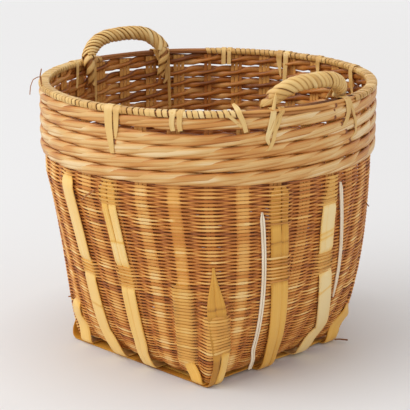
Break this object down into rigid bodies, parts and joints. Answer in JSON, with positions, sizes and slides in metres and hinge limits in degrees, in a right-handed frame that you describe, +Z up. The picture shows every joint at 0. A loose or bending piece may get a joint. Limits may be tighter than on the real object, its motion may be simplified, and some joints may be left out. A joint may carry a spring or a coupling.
{
  "type": "woven farm basket",
  "caption": "Woven basket, square at the base and round at the mouth, with a bound rim and a fixed carrying handle on each side.",
  "frame": {"origin": "middle of the base, on the floor", "axes": "+Z up through the mouth; the square base's sides lie along X and Y; one handle is on the +X side and one on the -X side"},
  "size_m": [0.4682, 0.4677, 0.4215],
  "materials": {
    "fine_weft": "fine split rattan, dry and matt, orange brown with darker strands",
    "splint": "split bamboo, dry, warm brown",
    "pale_cane": "round cane with its skin on, pale straw with orange patches, faint sheen",
    "brown_cane": "round cane, brown, dry",
    "split_cane": "flat split cane with a faint sheen, straw to olive gold",
    "bamboo_slat": "flat bamboo slat, honey yellow, with fine grain and satin sheen"
  },
  "bodies": {
    "root": {"corner_stake_1": "splint", "corner_stake_2": "splint", "corner_stake_3": "splint", "corner_stake_4": "splint", "fine_weft_inner": "fine_weft", "fine_weft_outer_lower": "fine_weft", "fine_weft_outer_upper": "fine_weft", "handle_core_1": "brown_cane", "handle_core_2": "brown_cane", "handle_lashing_1_left": "split_cane", "handle_lashing_1_right": "split_cane", "handle_lashing_2_left": "split_cane", "handle_lashing_2_right": "split_cane", "handle_wrap_1": "split_cane", "handle_wrap_2": "split_cane", "rim_binding_back": "split_cane", "rim_binding_front": "split_cane", "rim_hoop_inner": "brown_cane", "rim_hoop_outer": "brown_cane", "rim_tie_1": "split_cane", "rim_tie_2": "split_cane", "rim_tie_3": "split_cane", "rim_tie_4": "split_cane", "rim_tie_5": "split_cane", "rim_tie_6": "split_cane", "rim_tie_7": "split_cane", "slat_x1": "bamboo_slat", "slat_x2": "bamboo_slat", "slat_x3": "bamboo_slat", "slat_x4": "bamboo_slat", "slat_y1": "bamboo_slat", "slat_y2": "bamboo_slat", "slat_y3": "bamboo_slat", "slat_y4": "bamboo_slat", "splint_x1": "splint", "splint_x2": "splint", "splint_x3": "splint", "splint_x4": "splint", "splint_x5": "splint", "splint_x6": "splint", "splint_x7": "splint", "splint_y1": "splint", "splint_y2": "splint", "splint_y3": "splint", "splint_y4": "splint", "splint_y5": "splint", "splint_y6": "splint", "splint_y7": "splint", "thin_cane_1": "pale_cane", "thin_cane_2": "pale_cane", "wale_inner_1": "brown_cane", "wale_inner_2": "brown_cane", "wale_inner_3": "brown_cane", "wale_inner_4": "brown_cane", "wale_inner_5": "brown_cane", "wale_outer_1": "pale_cane", "wale_outer_2": "pale_cane", "wale_outer_3": "pale_cane", "wale_outer_4": "pale_cane", "wale_outer_5": "pale_cane"}
  },
  "joints": []
}
